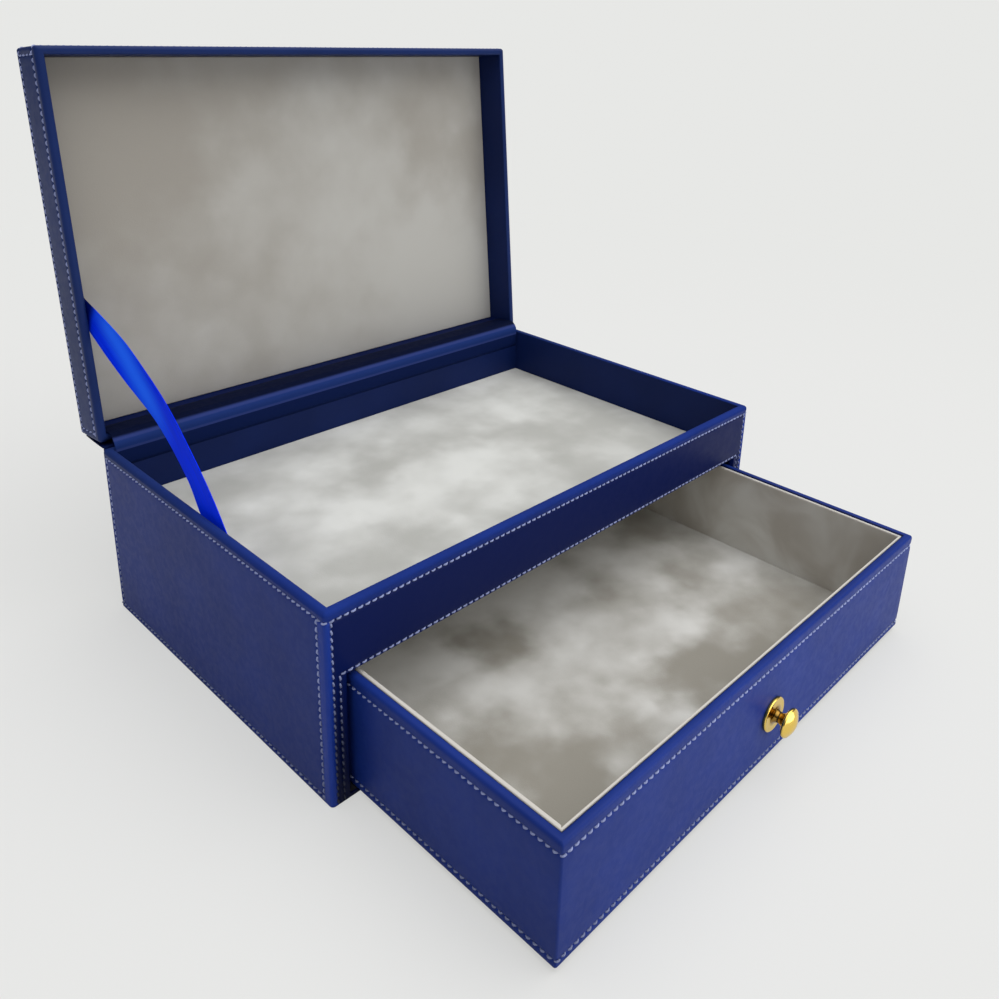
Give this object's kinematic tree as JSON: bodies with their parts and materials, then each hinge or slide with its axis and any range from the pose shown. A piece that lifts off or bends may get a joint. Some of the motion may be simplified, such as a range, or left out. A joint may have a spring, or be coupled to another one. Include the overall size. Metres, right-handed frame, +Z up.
{
  "type": "drawer gift box",
  "caption": "Leather-covered gift box with a suede-lined drawer under an open tray, a leather-hinged lid held by a satin ribbon, and a small gold knob.",
  "frame": {"origin": "middle of the case's underside, on the surface that the box stands on", "axes": "+X to the right seen from the front, +Y to the back where the lid is hinged, +Z up; the drawer opens towards -Y"},
  "size_m": [0.33, 0.3932, 0.315],
  "materials": {
    "navy_leather": "fine grain, satin, pale stitching",
    "lining_leather": "fine grain, dull",
    "hinge_leather": "fine grain, satin, flexible",
    "suede": "soft grey nap over card",
    "ribbon": "satin ribbon",
    "board": "pressed grey board",
    "base_sheet": "dark matt sheet",
    "gold_metal": "polished gold plate",
    "steel": "zinc plated"
  },
  "bodies": {
    "case": {"case_base_sheet": "base_sheet", "case_bottom_board": "board", "case_left_board": "board", "case_right_board": "board", "case_back_board": "board", "case_front_rail": "board", "case_left_post": "board", "case_right_post": "board", "bay_left_board": "board", "bay_right_board": "board", "tray_floor_board": "board", "tray_floor_panel": "suede", "tray_left_lining": "lining_leather", "tray_right_lining": "lining_leather", "tray_front_lining": "lining_leather", "tray_back_lining": "lining_leather", "case_cover": "navy_leather", "inner_hinge_leather": "hinge_leather", "outer_hinge_leather": "hinge_leather", "lid_ribbon": "ribbon"},
    "lid": {"lid_top_board": "board", "lid_left_board": "board", "lid_right_board": "board", "lid_front_board": "board", "lid_back_board": "board", "lid_left_lining": "lining_leather", "lid_right_lining": "lining_leather", "lid_front_lining": "lining_leather", "lid_back_lining": "lining_leather", "lid_panel": "suede", "lid_cover": "navy_leather"},
    "drawer": {"drawer_base_sheet": "base_sheet", "drawer_bottom_board": "board", "drawer_left_board": "board", "drawer_right_board": "board", "drawer_front_board": "board", "drawer_back_board": "board", "drawer_left_lining": "suede", "drawer_right_lining": "suede", "drawer_front_lining": "suede", "drawer_back_lining": "suede", "drawer_floor_panel": "suede", "drawer_cover": "navy_leather", "knob_rosette": "gold_metal", "knob": "gold_metal", "knob_screw": "steel", "knob_washer": "steel"}
  },
  "joints": [
    {"name": "lid_hinge", "type": "hinge", "parent": "case", "child": "lid", "pos_m": [0, 0.1079, 0.10215], "axis": [1, 0, 0], "range_deg": [0, 95.3], "deforming": ["lid_ribbon", "inner_hinge_leather", "outer_hinge_leather"]},
    {"name": "drawer_slide", "type": "slide", "parent": "case", "child": "drawer", "axis": [0, 1, 0], "range_m": [-0.045, 0.1212]}
  ]
}
